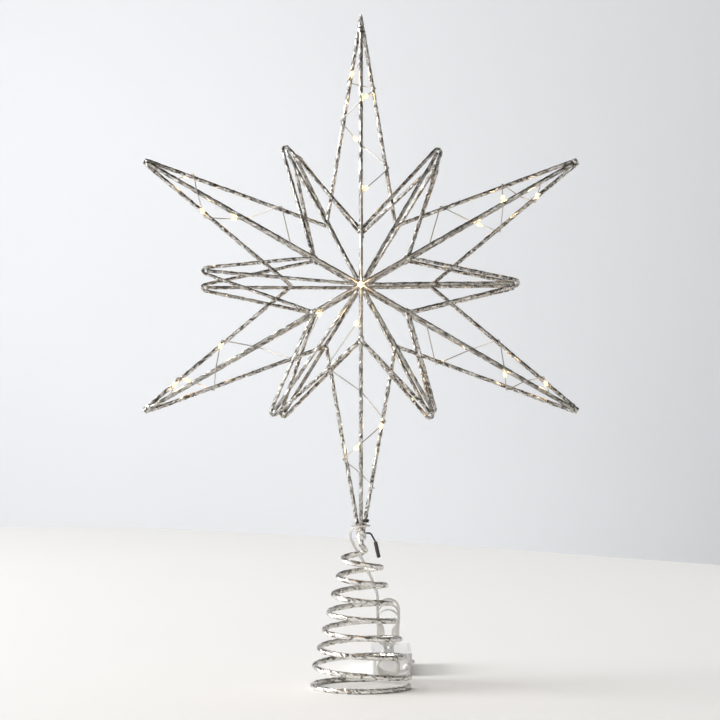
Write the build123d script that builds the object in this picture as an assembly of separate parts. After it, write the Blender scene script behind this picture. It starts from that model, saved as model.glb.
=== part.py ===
from build123d import *
import math
import os

# A lighted wire star for the top of a Christmas tree, on a conical coil base, with its light string,
# clear lead and battery case. Millimetres, +Z up, and the star's front faces -Y.
# The origin is on the coil's axis, on the table that the coil stands on.

os.makedirs("parts", exist_ok=True)

# Coil base: one wire, wound from the stem outwards and down to the table
coil_wire_d = 3.5
coil_top_radius = 11.6  # centre line of the first turn, at its left
coil_radius_step = 3.06  # growth of the radius in a turn
coil_pitch = 11.6
coil_even_turns = 6.25  # turns at the even pitch, counted from the first turn's left
coil_dip_turns = 0.5  # turns in which the wire then drops to the table
coil_flat_turns = 0.75  # turns that lie on the table
coil_dip_height = 10.25
coil_flat = 0.5  # depth of the flat under the turns that lie on the table
coil_lead_in_turns = 0.25  # part of a turn between the stem's bend and the first turn's left
coil_lead_in_radius = 8.5
stem_height = 18.5  # stem's top above the first turn's left
stem_straight = 7.0

# Star wires
neck_reach = 158.0  # star's centre to the lower ends of the bottom point's wires
side_reach = 162.5  # star's centre to the tips of the four side points
top_reach = 176.5  # star's centre to the end of the top point's spike
side_cap_length = 4.5
top_cap_length = 12.0
cap_end_r = 1.8
spike_end_r = 0.8
cap_margin = 0.2  # cap's base past the wires that end on it
valley_reach = 45.0  # star's centre to the corners between the long points
notch_reach = 35.0  # star's centre to where a short point's edges meet the long ridges
hub_depth = 38.0  # each hub in front of or behind the star's middle plane
short_tip_depth = 7.0  # each short tip in front of or behind the middle plane
frame_wire_d = 2.2
short_wire_d = 2.0
short_bend_radius = 2.0  # centre line of the bend at a short tip
short_ridge_setback = 1.0  # short ridge's end before the middle of that bend
hub_weld_r = 2.6
binding_wall = 0.75
binding_length = 4.4
touch_gap = 0.05  # between pieces that are bound or welded together
wire_gap = 0.15  # between wires that lie side by side
body_gap = 0.3  # between pieces that move past each other

# Neck: collar that binds the bottom point to the stem, and the light string's tail
neck_collar_length = 6.4
neck_collar_wall = 1.25
stem_end_gap = 0.5  # stem's top below the ends of the bottom point's wires
tail_wire_d = 1.2
tail_cap_d = 2.5
tail_cap_length = 10.8
tail_drop = 2.5  # tail's start below the ends of the bottom point's wires
tail_run = 3.0  # tail's run straight out of the collar
tail_hang = (3.0, -1.6, -5.3)  # from there to the tail's end
tail_cap_slant = (2.4, -0.4, -10.7)
tail_pocket_gap = 0.2  # between the tail's wire and its cap

# Light string and its lamps
string_d = 0.7
string_standoff = 1.8  # bend radius of the string round a frame wire
string_hub_gap = 0.5  # string's start in front of the hub weld
string_hub_ring = 1.5
string_first_lift = 1.35  # share of the bend radius, over the first wire that it goes round
string_end = 1.5  # end of the string past the last wire that it goes round
lamp_d = 2.5
lamp_length = 4.2
lamp_round = 1.1
lamp_clearance = 0.15  # between a lamp and the wire that it follows
hub_lamp_gap = 0.1

# Clear lead, its splice behind the neck, and its hank
lead_d = 2.2
lead_wrap_rise = 2.5  # lead's turn round the neck, above the ends of the bottom point's wires
lead_wrap_r = 5.0
lead_wrap_fall = 0.2  # from one corner of that turn to the next
splice_d = 3.0
splice_length = 6.0
hank_x = 18.0
hank_y = 36.2  # first loop's foot
hank_lean = 16.0  # degrees towards the coil
hank_loops = 3
hank_step = 3.0  # between loops
hank_top = 57.0  # first loop's top along the hank
hank_top_drop = 5.0  # each later loop's top below the one before
hank_foot = 1.5  # loops' lowest centre line along the hank
hank_waist = 21.5
hank_shoulder = 31.0
hank_top_half = 7.0
hank_shoulder_half = 6.5
hank_shoulder_step = 1.7  # each later loop's shoulders closer in than the one before
hank_waist_half = 1.7
hank_foot_half = 7.0
hank_run_in = 12.0  # straight run into the first loop
hank_run_out = 6.0  # run out of the last loop before the lead turns to the case
grommet_run_in = 6.1  # run into the grommet
tie_wall = 0.8
tie_height = 3.0
tie_gap = 0.2

# Battery case, which lies behind the coil, and what is in it
case_x = 20.5  # middle of the case
case_front = 62.0
case_width = 28.0
case_length = 64.0
case_height = 15.0
case_wall = 1.8
case_floor = 1.5
case_corner_r = 2.5
front_bay = 13.0  # bay of the switch and the board, under a fixed roof
bay_wall = 1.2
roof = 1.6
cell_d = 10.5
cell_end_space = 2.35  # for the contacts, at each end of the cells
cell_nub_d = 3.8
cell_nub_length = 0.8
cell_space = 0.7
cell_lift = 0.3  # cells above the case's floor
contact_plate = 0.5
contact_side = 7.5
contact_pad_d = 4.5
cover_thickness = 2.1
cover_tongue_height = 1.1
cover_tongue = 0.6
cover_rib_height = 0.4
cover_rib_width = 1.2
cover_rib_step = 3.0
cover_ribs = 4
board_gap = 0.3  # in front of the board
board_lift = 1.5
board_thickness = 1.2
board_length = 20.0
board_width = 8.6
resistor_d = 2.4
knob_length = 3.0
knob_height = 2.4
knob_proud = 1.8
knob_flange = 0.8
knob_flange_rim = 1.0
switch_travel = 3.0
switch_z = 8.6
switch_depth = 3.6
switch_length = 8.6
grommet_inset = 3.5  # grommet's middle from the case's right side
grommet_z = 5.5
grommet_length = 6.0
grommet_base_r = 2.8
grommet_end_r = 1.7
grommet_neck_r = 1.9

# Long points, evenly spaced from the top, anticlockwise seen from the front
LONG_POINTS = ["top", "upper_left", "lower_left", "bottom", "lower_right", "upper_right"]
# Short points: the long points at their two sides, then the hand-bent lean in degrees and the reach of the
# front tip and of the back tip
SHORT_POINTS = {
    "right": (("lower_right", "upper_right"), (1.1, 103.5), (0.3, 102.0)),
    "high_right": (("upper_right", "top"), (0.1, 103.4), (-2.1, 94.5)),
    "high_left": (("top", "upper_left"), (-1.1, 104.0), (-3.3, 97.0)),
    "left": (("upper_left", "lower_left"), (-5.7, 104.4), (0.4, 105.5)),
    "low_left": (("lower_left", "bottom"), (-4.7, 103.2), (-1.3, 101.0)),
    "low_right": (("bottom", "lower_right"), (-0.1, 96.0), (-1.9, 99.0)),
}
# The string's way along each long point: the wires that it goes round, each with how far out that is, in
# percent of the way to the wires' ends, and whether a lamp follows. ccw and cw are the two outline wires.
STRING_ROUTES = {
    "top": [
        ("front", 35.5, True), ("cw", 46.5, False), ("back", 56.5, True), ("ccw", 65, False),
        ("front", 72, True), ("cw", 78, False), ("back", 79.5, False), ("ccw", 80.5, True),
        ("front", 88, False),
    ],
    "upper_left": [
        ("front", 32.5, False), ("cw", 44.5, False), ("back", 56, True), ("ccw", 69.5, True),
        ("front", 77, False), ("cw", 82.5, True), ("back", 88, False),
    ],
    "lower_left": [
        ("front", 17, True), ("ccw", 38, False), ("back", 49.5, False), ("cw", 60.5, True),
        ("front", 68, False), ("ccw", 73.5, False), ("back", 79, True), ("cw", 84, True),
        ("front", 89.5, False),
    ],
    "bottom": [
        ("front", 12.5, True), ("cw", 33, False), ("back", 43, False), ("ccw", 55.5, True),
        ("front", 64, True), ("cw", 71, False), ("back", 77, False), ("ccw", 83, False),
    ],
    "lower_right": [
        ("front", 30, False), ("cw", 42.5, True), ("back", 52, False), ("ccw", 60, False),
        ("front", 67, True), ("cw", 73, False), ("back", 78, False), ("ccw", 83.5, True),
        ("front", 88.5, False),
    ],
    "upper_right": [
        ("front", 31.5, False), ("ccw", 44.5, False), ("back", 53.5, True), ("cw", 60.5, False),
        ("front", 66.5, True), ("ccw", 71, False), ("back", 75, False), ("cw", 79, True),
        ("front", 84.5, False),
    ],
}

# Worked-out places
half_step = math.pi / len(LONG_POINTS)  # between a long point and the short point beside it
coil_floor_z = coil_wire_d / 2 - coil_flat
coil_dip_z = coil_floor_z + coil_dip_height
coil_top_z = coil_dip_z + coil_pitch * coil_even_turns
stem_top_z = coil_top_z + stem_height
neck_z = stem_top_z + stem_end_gap
star_centre_z = neck_z + neck_reach
bunch_radius = frame_wire_d / 2 * math.sqrt(2) + wire_gap
binding_r = frame_wire_d / 2 + touch_gap + binding_wall
collar_bore_r = coil_wire_d / 2 + body_gap
collar_r = collar_bore_r + neck_collar_wall
case_rear = case_front + case_length
case_right = case_x + case_width / 2
cell_bay_front = case_front + front_bay
cover_bottom = case_height - cover_thickness

FRONT = -1
BACK = 1


def export(shape, node):
    """Writes one node's solids."""
    export_step(shape, f"parts/{node}.step")


def group(solids):
    """One node of several separate solids."""
    return Compound(children=list(solids))


def solid_of(shape):
    """The one solid that a cut or a sweep leaves."""
    return shape.solids()[0]


def rod(start, end, diameter):
    """A straight wire between two points."""
    return Solid.make_cylinder(diameter / 2, (end - start).length, Plane(start, z_dir=end - start))


def block(low, high):
    """A box between two corners."""
    size = [h - l for l, h in zip(low, high)]
    middle = [(l + h) / 2 for l, h in zip(low, high)]
    return Pos(*middle) * Box(*size)


def tube(path, diameter, name=None):
    """A round wire along a path."""
    wire = solid_of(sweep(Plane(path @ 0, z_dir=path % 0) * Circle(diameter / 2), path))
    if name:
        by_length = path.length * math.pi * diameter**2 / 4
        least = min((edge.radius for edge in path.edges() if edge.geom_type == GeomType.CIRCLE))
        print(f"{name}: length {path.length:.1f}, least arc radius {least:.2f},", end=" ")
        print(f"volume {wire.volume:.1f}, section times length {by_length:.1f}")
    return wire


def radial(degrees):
    """Unit vector in the star's plane."""
    angle = math.radians(degrees)
    return Vector(math.cos(angle), 0, math.sin(angle))


def on_star(reach, degrees, depth=0.0):
    """A point by its distance and direction from the star's centre, and its depth along Y."""
    return Vector(0, depth, star_centre_z) + radial(degrees) * reach


def hub(side):
    """Middle of the front or the back hub."""
    return Vector(0, side * hub_depth, star_centre_z)


def biarc(start, start_way, end, end_way):
    """Two arcs that join two points with the given directions."""
    chord = end - start
    both = start_way + end_way
    square = both.dot(both) - 4
    half = chord.dot(both)
    reach = chord.dot(chord) / (2 * half)
    if abs(square) > 1e-9:
        reach = (half - math.sqrt(half * half - square * chord.dot(chord))) / square
    first_corner = start + start_way * reach
    second_corner = end - end_way * reach
    middle = (first_corner + second_corner) * 0.5
    return [
        Edge.make_tangent_arc(start, start_way, middle),
        Edge.make_tangent_arc(middle, second_corner - first_corner, end),
    ]


def biarcs(stations):
    """Arcs through stations, each a point and a direction."""
    edges = []
    for (start, start_way), (end, end_way) in zip(stations, stations[1:]):
        edges += biarc(start, start_way.normalized(), end, end_way.normalized())
    return edges


def print_self_gap(name, path, diameter):
    """Measures on points how near a wound tube comes to itself."""
    count = 500
    near = 3 * diameter
    points = [path @ (i / count) for i in range(count + 1)]
    step = path.length / count
    least = min(
        (points[i] - points[j]).length
        for i in range(count)
        for j in range(i + math.ceil(near / step) + 1, count + 1)
    )
    print(f"{name}: least gap to itself {least - diameter:.2f}")


def cord_path(name, points):
    """Straight runs and the largest even arcs through a cord's points."""
    radii = []
    for before, corner, after in zip(points, points[1:], points[2:]):
        turn = math.radians((corner - before).get_angle(after - corner))
        shorter = min((corner - before).length, (after - corner).length)
        radii.append(0.45 * shorter / math.tan(turn / 2))
    print(f"{name}: arc radii", [round(radius, 1) for radius in radii])
    return FilletPolyline(*points, radius=radii)


def direction(name):
    """Direction of a long point, in degrees from the right."""
    return 90 + 360 / len(LONG_POINTS) * LONG_POINTS.index(name)


def between(first, second):
    """Direction halfway from one long point to the next."""
    return direction(first) + (direction(second) - direction(first)) % 360 / 2


class LongPoint:
    """The four wire lines of one long point, from the star's body to its tip."""

    def __init__(self, name):
        self.name = name
        self.degrees = direction(name)
        self.out = radial(self.degrees)
        self.side = radial(self.degrees + 90)
        cap = top_cap_length if name == "top" else side_cap_length
        reach = top_reach if name == "top" else side_reach
        self.end_reach = neck_reach if name == "bottom" else reach - cap
        self.end = on_star(self.end_reach, self.degrees)
        place = LONG_POINTS.index(name)
        self.valleys = {
            "ccw": between(name, LONG_POINTS[(place + 1) % len(LONG_POINTS)]),
            "cw": between(LONG_POINTS[place - 1], name),
        }
        shift = {"ccw": self.side, "cw": -self.side, "front": Vector(0, FRONT, 0), "back": Vector(0, BACK, 0)}
        self.wire_ends = {wire: self.end + way * bunch_radius for wire, way in shift.items()}
        self.wire_starts = {
            "ccw": on_star(valley_reach, self.valleys["ccw"]),
            "cw": on_star(valley_reach, self.valleys["cw"]),
            "front": hub(FRONT),
            "back": hub(BACK),
        }

    def on_wire(self, wire, reach):
        """The point of a wire's centre line at a distance along the long point."""
        start, end = self.wire_starts[wire], self.wire_ends[wire]
        first = (start - on_star(0, 0)).dot(self.out)
        return start + (end - start) * ((reach - first) / (self.end_reach - first))

    def wire_rod(self, wire, start_at):
        """A wire from a distance past its start, cut square at its tip end."""
        start, end = self.wire_starts[wire], self.wire_ends[wire]
        way = (end - start).normalized()
        long_rod = rod(start + way * start_at, end + way * frame_wire_d, frame_wire_d)
        return split(long_rod, bisect_by=Plane(self.end, z_dir=self.out), keep=Keep.BOTTOM)

    def outline_wire(self, wire):
        """A wire in the star's middle plane, mitred against the next long point's wire."""
        turn = 1 if wire == "ccw" else -1
        mitre = Plane(self.wire_starts[wire], z_dir=radial(self.valleys[wire] + 90) * turn)
        return solid_of(split(self.wire_rod(wire, -frame_wire_d), bisect_by=mitre, keep=Keep.BOTTOM))

    def ridge_wire(self, wire):
        """A wire from a hub weld to the tip."""
        return solid_of(self.wire_rod(wire, hub_weld_r + touch_gap))

    def notch(self, wire):
        """The place on a ridge where the short points' edges are bound."""
        return self.on_wire(wire, notch_reach)

    def binding_plane(self, wire):
        return Plane(self.notch(wire), z_dir=self.wire_ends[wire] - self.wire_starts[wire])


long_points = {name: LongPoint(name) for name in LONG_POINTS}


def ridge_name(side):
    return "front" if side == FRONT else "back"


def tip_cap(point):
    """The bound tip that the wires of a long point end in."""
    is_top = point.name == "top"
    length = top_cap_length if is_top else side_cap_length
    end_r = spike_end_r if is_top else cap_end_r
    base_r = bunch_radius + frame_wire_d / 2 + cap_margin
    cap = Solid.make_cone(base_r, end_r, length, Plane(point.end, z_dir=point.out))
    end_edge = cap.edges().filter_by(GeomType.CIRCLE).sort_by(SortBy.LENGTH)[0]
    return solid_of(fillet(end_edge, end_r * 0.8))


def binding(point, wire):
    """The collar round a ridge at the ends of the short points' edges."""
    plane = point.binding_plane(wire).offset(-binding_length / 2)
    collar = Solid.make_cylinder(binding_r, binding_length, plane)
    bore = Solid.make_cylinder(frame_wire_d / 2 + touch_gap, binding_length, plane)
    return solid_of(collar - bore)


def short_corner(side, degrees, tip_reach):
    """The corner that a short point's two edges would meet in without their bend."""
    half = math.atan2(notch_reach * math.sin(half_step), tip_reach - notch_reach * math.cos(half_step))
    reach = tip_reach - short_wire_d / 2 - short_bend_radius + short_bend_radius / math.sin(half)
    return on_star(reach, degrees, side * short_tip_depth)


def short_edges(side, beside, lean, tip_reach):
    """One wire, bent round at the short tip, with its ends against the bindings of two long ridges."""
    wire = ridge_name(side)
    corner = short_corner(side, between(*beside) + lean, tip_reach)
    notches = [long_points[name].notch(wire) for name in beside]
    path = FilletPolyline(notches[0], corner, notches[1], radius=short_bend_radius)
    edges = tube(path, short_wire_d)
    for point in (long_points[name] for name in beside):
        plane = point.binding_plane(wire).offset(-2 * binding_length)
        edges -= Solid.make_cylinder(binding_r + touch_gap, 4 * binding_length, plane)
    return max(edges.solids(), key=lambda solid: solid.volume)


def short_ridge(side, beside, lean, tip_reach):
    """A straight wire from between two long ridges at the hub to the inside of a short tip's bend."""
    wire = ridge_name(side)
    corner = short_corner(side, between(*beside) + lean, tip_reach)
    edge_ways = [(long_points[name].notch(wire) - corner).normalized() for name in beside]
    half_open = math.radians(edge_ways[0].get_angle(edge_ways[1])) / 2
    inwards = (edge_ways[0] + edge_ways[1]).normalized()
    bend_middle = corner + inwards * (short_bend_radius / math.sin(half_open))
    way = (bend_middle - hub(side)).normalized()
    apart = frame_wire_d / 2 + short_wire_d / 2 + wire_gap
    start_at = apart / (2 * math.sin((half_step - math.radians(abs(lean))) / 2))
    return rod(hub(side) + way * start_at, bend_middle - way * short_ridge_setback, short_wire_d)


def across_wire(point, wire, way):
    """Unit vector of the part of a direction that is square to a wire."""
    along = (point.wire_ends[wire] - point.wire_starts[wire]).normalized()
    return (way - along * way.dot(along)).normalized()


def outwards(point, wire, place):
    """Unit vector from a long point's axis to one of its wires, square to the wire."""
    on_axis = on_star((place - on_star(0, 0)).dot(point.out), point.degrees)
    return across_wire(point, wire, place - on_axis)


def string_corners(point):
    """The corners of the light string's way along a long point, from the hub's front."""
    wires = [wire for wire, _, _ in STRING_ROUTES[point.name]]
    step_out = Vector(0, FRONT * (hub_weld_r + string_hub_gap), 0)
    first = hub(FRONT) + step_out + point.out * string_hub_ring
    route = STRING_ROUTES[point.name]
    places = [point.on_wire(wire, point.end_reach * percent / 100) for wire, percent, _ in route]
    over_first = outwards(point, wires[0], places[0]) * (string_standoff * string_first_lift)
    corners = [first, places[0] + over_first]
    for before, place, after, wire in zip(places, places[1:], places[2:], wires[1:]):
        back_way = across_wire(point, wire, before - place)
        on_way = across_wire(point, wire, after - place)
        half_open = math.radians(back_way.get_angle(on_way)) / 2
        corners.append(place - (back_way + on_way).normalized() * (string_standoff / math.sin(half_open)))
    back_way = across_wire(point, wires[-1], places[-2] - places[-1])
    outer = outwards(point, wires[-1], places[-1])
    beside = (outer - back_way * outer.dot(back_way)).normalized()
    corners.append(places[-1] + beside * string_standoff - back_way * string_end)
    return corners


def light_string(point):
    """The string's wire along one long point."""
    path = FilletPolyline(*string_corners(point), radius=string_standoff)
    return tube(path, string_d, f"light_string_{point.name}")


def lamp(middle, way):
    """A lamp bead, bored for the string."""
    plane = Plane(middle - way.normalized() * lamp_length / 2, z_dir=way)
    bead = Solid.make_cylinder(lamp_d / 2, lamp_length, plane)
    bead = fillet(bead.edges().filter_by(GeomType.CIRCLE), lamp_round)
    bore = Solid.make_cylinder(string_d / 2 + touch_gap, lamp_length, plane)
    return solid_of(bead - bore)


def lamp_place(point, wire, corner, way):
    """Distance of a lamp's middle from a corner of the string, far enough on to clear the wire there."""
    along = (point.wire_ends[wire] - point.wire_starts[wire]).normalized()
    square = along.cross(way)
    to_wire = point.wire_starts[wire] - corner
    nearest = to_wire.cross(along).dot(square) / square.dot(square)
    apart = abs(to_wire.dot(square)) / square.length
    clear = frame_wire_d / 2 + lamp_d / 2 + lamp_clearance
    past = math.sqrt(max(clear * clear - apart * apart, 0)) / square.length
    return abs(nearest) + past + lamp_length / 2 - lamp_round / 2


def lamps(point):
    """The lamps of one long point, each just past a wire that the string goes round."""
    corners = string_corners(point)
    beads = []
    for index, (wire, _, has_lamp) in enumerate(STRING_ROUTES[point.name]):
        if has_lamp:
            corner, after = corners[index + 1], corners[index + 2]
            way = (after - corner).normalized()
            beads.append(lamp(corner + way * lamp_place(point, wire, corner, way), way))
    return beads


def hub_lamp():
    """The lamp at the middle of the star's front, upright in front of the string's starts."""
    gap = hub_weld_r + string_hub_gap + string_d / 2 + hub_lamp_gap + lamp_d / 2
    middle = hub(FRONT) + Vector(0, FRONT * gap, 0)
    bead = Solid.make_cylinder(lamp_d / 2, lamp_length, Plane(middle - Vector(0, 0, lamp_length / 2)))
    return solid_of(fillet(bead.edges().filter_by(GeomType.CIRCLE), lamp_round))


def coil_at(turn):
    """Centre line of the coil, counted in turns from the first turn's left, anticlockwise from above."""
    dip_end = coil_even_turns + coil_dip_turns
    if turn < 0:
        share = turn / coil_lead_in_turns
        radius = coil_top_radius + share * (coil_top_radius - coil_lead_in_radius)
    else:
        radius = coil_top_radius + coil_radius_step * min(turn, coil_even_turns + coil_dip_turns / 2)
    if turn < coil_even_turns:
        height = coil_top_z - coil_pitch * turn
    elif turn < dip_end:
        height = coil_dip_z - coil_dip_height * (turn - coil_even_turns) / coil_dip_turns
    else:
        height = coil_floor_z
    angle = math.pi + 2 * math.pi * turn
    return Vector(radius * math.cos(angle), radius * math.sin(angle), height)


def coil_base():
    """The stem and the conical coil, one wire, with a flat where it lies on the table."""
    quarter = 0.25
    small = 0.02
    total = coil_even_turns + coil_dip_turns + coil_flat_turns
    stem_top = Vector(0, 0, stem_top_z)
    bend_top = Vector(0, 0, stem_top_z - stem_straight)
    stations = [(bend_top, Vector(0, 0, -1))]
    for index in range(round((total + coil_lead_in_turns) / quarter) + 1):
        turn = index * quarter - coil_lead_in_turns
        before = max(turn - small, -coil_lead_in_turns)
        stations.append((coil_at(turn), coil_at(turn + small) - coil_at(before)))
    end, end_way = stations[-1]
    end_line = Edge.make_line(end, end + end_way.normalized() * coil_wire_d)
    path = Wire([Edge.make_line(stem_top, bend_top)] + biarcs(stations) + [end_line])
    print_self_gap("coil_base", path, coil_wire_d)
    wire = tube(path, coil_wire_d, "coil_base")
    return solid_of(split(wire, bisect_by=Plane.XY, keep=Keep.TOP))


def neck_collar():
    """The collar below the bottom point's wires, round the stem's top."""
    plane = Plane((0, 0, neck_z - touch_gap - neck_collar_length))
    collar = Solid.make_cylinder(collar_r, neck_collar_length, plane)
    bore = Solid.make_cylinder(collar_bore_r, neck_collar_length, plane)
    return solid_of(collar - bore)


# The tail's corners, from the neck collar outwards and down
tail_points = [
    Vector(collar_r + touch_gap, 0, neck_z - tail_drop),
    Vector(collar_r + tail_run, 0, neck_z - tail_drop),
    Vector(collar_r + tail_run, 0, neck_z - tail_drop) + Vector(*tail_hang),
]
tail_cap_way = Vector(*tail_cap_slant).normalized()


def tail_wire():
    return tube(FilletPolyline(*tail_points, radius=2 * tail_wire_d), tail_wire_d)


def tail_cap():
    """The heat-shrink cap on the tail's end."""
    cap = Solid.make_cylinder(tail_cap_d / 2, tail_cap_length, Plane(tail_points[-1], z_dir=tail_cap_way))
    sheath = fillet(cap.edges().filter_by(GeomType.CIRCLE), tail_cap_d * 0.35)
    mouth = tail_points[-1] - (tail_points[-1] - tail_points[-2]).normalized() * tail_wire_d
    foot = tail_points[-1] + tail_cap_way * touch_gap
    return solid_of(sheath - rod(mouth, foot, tail_wire_d + 2 * tail_pocket_gap))


# The hank's frame: up along its lean, and back across its loops
lean = math.radians(hank_lean)
hank_up = Vector(0, -math.sin(lean), math.cos(lean))
hank_back = Vector(0, math.cos(lean), math.sin(lean))
hank_origin = Vector(hank_x, hank_y, 0)
HANK_STATIONS = 10  # in one loop


def hank_station(index):
    """A point of the hank's centre line and its direction, counted from the first loop's top left."""
    loop, place = divmod(index, HANK_STATIONS)
    top_loop = loop - 1 if place == 0 and loop > 0 else loop
    top = hank_top - hank_top_drop * min(top_loop, hank_loops - 1)
    shoulder_half = hank_shoulder_half - hank_shoulder_step * min(loop, hank_loops - 1)
    places = [
        (-hank_top_half, top - hank_top_half, 0, -1),
        (-shoulder_half, hank_shoulder, 0, -1),
        (-hank_waist_half, hank_waist, 0, -1),
        (-hank_foot_half, hank_foot + hank_foot_half, 0, -1),
        (0, hank_foot, 1, 0),
        (hank_foot_half, hank_foot + hank_foot_half, 0, 1),
        (hank_waist_half, hank_waist, 0, 1),
        (shoulder_half, hank_shoulder, 0, 1),
        (hank_top_half, top - hank_top_half, 0, 1),
        (0, top, -1, 0),
    ]
    across, along, across_way, along_way = places[place]
    point = hank_origin + Vector(across, 0, 0) + hank_up * along
    point += hank_back * (hank_step * index / HANK_STATIONS)
    return point, Vector(across_way, 0, 0) + hank_up * along_way


hank_last = hank_loops * HANK_STATIONS + 4
hank_start, hank_start_way = hank_station(0)
hank_end, hank_end_way = hank_station(hank_last)


def lead_hank():
    """The hank's loops, one unbroken lead, drawn in at the waist."""
    path = Wire(biarcs([hank_station(index) for index in range(hank_last + 1)]))
    print_self_gap("lead_hank", path, lead_d)
    return tube(path, lead_d, "lead_hank")


def hank_tie():
    """The band round the hank's waist."""
    first = hank_step * 2 / HANK_STATIONS
    last = hank_step * (hank_last - 2) / HANK_STATIONS
    across = 2 * hank_waist_half + lead_d + 2 * tie_gap
    deep = last - first + lead_d + 2 * tie_gap
    middle = hank_origin + hank_up * (hank_waist - tie_height / 2) + hank_back * ((first + last) / 2)
    plane = Plane(middle, x_dir=Vector(1, 0, 0), z_dir=hank_up)
    outer = RectangleRounded(across + 2 * tie_wall, deep + 2 * tie_wall, lead_d / 2 + tie_wall)
    inner = RectangleRounded(across, deep, lead_d / 2)
    return solid_of(extrude(plane * (outer - inner), tie_height))


# The lead's corners: round the neck from the splice, down behind the coil, and into the hank
lead_wrap_z = neck_z + lead_wrap_rise
splice_end = Vector(0, lead_wrap_r, lead_wrap_z)
lead_drop_points = [
    splice_end,
    Vector(lead_wrap_r, lead_wrap_r, lead_wrap_z),
    Vector(lead_wrap_r, -lead_wrap_r, lead_wrap_z - lead_wrap_fall),
    Vector(-lead_wrap_r, -lead_wrap_r, lead_wrap_z - 2 * lead_wrap_fall),
    Vector(-7.6, 2.2, 99.5),
    Vector(-5.2, 10.8, 92.6),
    Vector(1.0, 16.6, 82.0),
    Vector(6.6, 18.4, 70.2),
    hank_start - hank_start_way * hank_run_in,
    hank_start,
]
grommet_end = Vector(case_right - grommet_inset, case_front - grommet_length, grommet_z)
lead_foot_points = [
    hank_end,
    hank_end + hank_end_way * hank_run_out,
    grommet_end - Vector(0, grommet_run_in, 0),
    grommet_end,
]


def lead_drop():
    return tube(cord_path("lead_drop", lead_drop_points), lead_d, "lead_drop")


def lead_foot():
    return tube(cord_path("lead_foot", lead_foot_points), lead_d, "lead_foot")


def string_splice():
    """The sleeve behind the neck that joins the lead to the light string."""
    start = splice_end - Vector(body_gap, 0, 0)
    sleeve = Solid.make_cylinder(splice_d / 2, splice_length, Plane(start, z_dir=(-1, 0, 0)))
    return solid_of(fillet(sleeve.edges().filter_by(GeomType.CIRCLE), splice_d * 0.15))


def battery_case():
    """The open tray, its front bay under a roof, and the grooves that its cover slides in."""
    low = Vector(case_x - case_width / 2, case_front, 0)
    shell = block(low, (case_right, case_rear, case_height))
    shell = fillet(shell.edges().filter_by(Axis.Z), case_corner_r)
    inner_left, inner_right = low.X + case_wall, case_right - case_wall
    inner_rear = case_rear - case_wall
    shell -= block(
        (inner_left, case_front + case_wall, case_floor),
        (inner_right, cell_bay_front - bay_wall, case_height - roof),
    )
    shell -= block((inner_left, cell_bay_front, case_floor), (inner_right, inner_rear, case_height))
    shell -= block(
        (inner_left, inner_rear, cover_bottom - body_gap), (inner_right, case_rear, case_height)
    )
    groove = cover_tongue + body_gap
    shell -= block(
        (inner_left - groove, cell_bay_front, cover_bottom - body_gap),
        (inner_right + groove, case_rear, cover_bottom + cover_tongue_height + body_gap),
    )
    slot_end = knob_length / 2 + body_gap
    slot_side = knob_height / 2 + body_gap
    shell -= block(
        (inner_right, switch_y - switch_travel - slot_end, switch_z - slot_side),
        (case_right, switch_y + slot_end, switch_z + slot_side),
    )
    hole = Plane((grommet_end.X, case_front, grommet_z), z_dir=(0, 1, 0))
    shell -= Solid.make_cylinder(grommet_neck_r + touch_gap, case_wall, hole)
    for side in (-1, 1):
        rib_x = board_x + side * (board_length / 2 - bay_wall)
        shell += block(
            (rib_x - bay_wall / 2, board_front, case_floor - touch_gap),
            (rib_x + bay_wall / 2, board_front + board_width, case_floor + board_lift),
        )
    return solid_of(shell)


switch_y = case_front + front_bay / 2 + switch_travel / 2
board_front = case_front + case_wall + board_gap
board_x = case_right - case_wall - body_gap - board_length / 2
board_top = case_floor + board_lift + touch_gap + board_thickness
flange_out = case_right - case_wall - body_gap
switch_out = flange_out - knob_flange - body_gap


def battery_cover():
    """The sliding lid, with a tongue on each side and ribs for the thumb."""
    half = case_width / 2 - case_wall - body_gap
    front = cell_bay_front + body_gap
    lid = block((case_x - half, front, cover_bottom), (case_x + half, case_rear, case_height))
    lid += block(
        (case_x - half - cover_tongue, front, cover_bottom),
        (case_x + half + cover_tongue, case_rear, cover_bottom + cover_tongue_height),
    )
    for index in range(cover_ribs):
        rib = case_rear - cover_rib_step * (index + 2)
        lid += block(
            (case_x - half / 2, rib, case_height),
            (case_x + half / 2, rib + cover_rib_width, case_height + cover_rib_height),
        )
    return solid_of(lid)


cell_z = case_floor + cell_lift + cell_d / 2
cell_length = case_length - front_bay - case_wall - 2 * cell_end_space
cell_front = cell_bay_front + cell_end_space
cell_offset = (cell_d + cell_space) / 2


def cell(side):
    """One cell, its nub to the front on the left and to the rear on the right."""
    rear = cell_front + cell_length
    body_front = cell_front + (cell_nub_length if side < 0 else 0)
    middle_x = case_x + side * cell_offset
    can = Solid.make_cylinder(
        cell_d / 2, cell_length - cell_nub_length, Plane((middle_x, body_front, cell_z), z_dir=(0, 1, 0))
    )
    nub_front = cell_front if side < 0 else rear - cell_nub_length
    nub = Solid.make_cylinder(
        cell_nub_d / 2, cell_nub_length, Plane((middle_x, nub_front, cell_z), z_dir=(0, 1, 0))
    )
    return solid_of(can + nub)


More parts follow.
